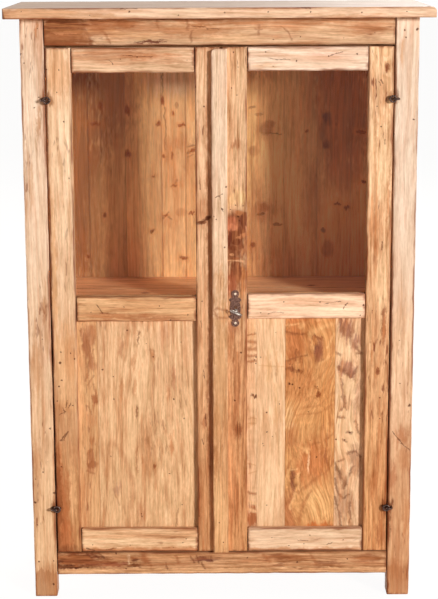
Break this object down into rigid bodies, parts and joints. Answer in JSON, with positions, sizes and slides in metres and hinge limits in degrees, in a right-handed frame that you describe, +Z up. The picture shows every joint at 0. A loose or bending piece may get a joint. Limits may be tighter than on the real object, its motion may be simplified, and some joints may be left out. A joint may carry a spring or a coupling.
{
  "type": "display cabinet",
  "caption": "Tall free-standing pine display cabinet: framed doors glazed above and boarded below, cover strip, keyed rim lock, ring-eye hinges, inner shelf and overhanging top.",
  "frame": {"origin": "centre of the bounding box at floor level, on the plane the four feet stand on", "axes": "+Z up, +Y towards the back boards, +X to the right of someone facing the doors"},
  "size_m": [0.96, 0.375, 1.394],
  "materials": {
    "pine_case": "waxed rough pine, satin",
    "pine_door": "waxed rough pine, satin",
    "pine_panel": "waxed figured pine, satin",
    "pine_inside": "waxed pine, satin",
    "pine_top": "waxed pine, semi-gloss",
    "glass": "clear flat glass",
    "iron": "dark oiled iron",
    "bronze": "dark antiqued bronze",
    "steel": "plain steel"
  },
  "bodies": {
    "case": {"post_front_left": "pine_case", "post_front_right": "pine_case", "post_back_left": "pine_case", "post_back_right": "pine_case", "rail_front_top": "pine_case", "rail_front_bottom": "pine_case", "rail_back_top": "pine_case", "rail_back_bottom": "pine_case", "rail_left_top": "pine_case", "rail_left_bottom": "pine_case", "rail_right_top": "pine_case", "rail_right_bottom": "pine_case", "side_boards_left": "pine_case", "side_boards_right": "pine_case", "back_boards": "pine_inside", "floor_boards": "pine_inside", "shelf_boards": "pine_inside", "floor_cleats": "pine_inside", "shelf_cleats": "pine_inside", "door_stop": "pine_inside", "top_blocks": "pine_inside", "top_board": "pine_top", "hinge_eyes_post": "iron", "top_screws": "steel", "slide_strike": "steel"},
    "left_door": {"left_stile_outer": "pine_door", "left_stile_inner": "pine_door", "left_rail_top": "pine_door", "left_rail_middle": "pine_door", "left_rail_bottom": "pine_door", "left_glass": "glass", "left_beads": "pine_door", "left_panel_narrow": "pine_panel", "left_panel_wide": "pine_panel", "left_hinge_eyes": "iron", "lock_keeper": "steel", "keeper_screws": "steel", "slide_bolt_plate": "steel"},
    "right_door": {"right_stile_outer": "pine_door", "right_stile_inner": "pine_door", "right_rail_top": "pine_door", "right_rail_middle": "pine_door", "right_rail_bottom": "pine_door", "right_glass": "glass", "right_beads": "pine_door", "right_panel_edge": "pine_panel", "right_panel_pale": "pine_panel", "right_panel_figured": "pine_panel", "right_panel_outer": "pine_panel", "right_hinge_eyes": "iron", "cover_strip": "pine_door", "escutcheon": "bronze", "escutcheon_pins": "bronze", "lock_case": "steel", "lock_screws": "steel"},
    "lock_bolt": {"lock_bolt": "steel"},
    "key": {"key": "bronze"},
    "slide_bolt": {"slide_bolt_rod": "steel"}
  },
  "joints": [
    {"name": "right_door_swing", "type": "hinge", "parent": "case", "child": "right_door", "pos_m": [0.396, -0.16, 0.7], "axis": [0, 0, 1], "range_deg": [0, 170]},
    {"name": "left_door_swing", "type": "hinge", "parent": "case", "child": "left_door", "pos_m": [-0.396, -0.16, 0.7], "axis": [0, 0, 1], "range_deg": [-170, 0]},
    {"name": "key_turn", "type": "hinge", "parent": "right_door", "child": "key", "pos_m": [0.035, -0.15, 0.701], "axis": [0, 1, 0], "range_deg": [0, 132]},
    {"name": "lock_bolt_slide", "type": "slide", "parent": "right_door", "child": "lock_bolt", "axis": [-1, 0, 0], "range_m": [0, 0.014]},
    {"name": "slide_bolt_slide", "type": "slide", "parent": "left_door", "child": "slide_bolt", "axis": [0, 0, 1], "range_m": [0, 0.016]}
  ],
  "couplings": [
    {"joint": "left_door_swing", "follows": "right_door_swing", "ratio": -1},
    {"joint": "key_turn", "follows": "lock_bolt_slide", "rad_per_m": 164.56}
  ]
}
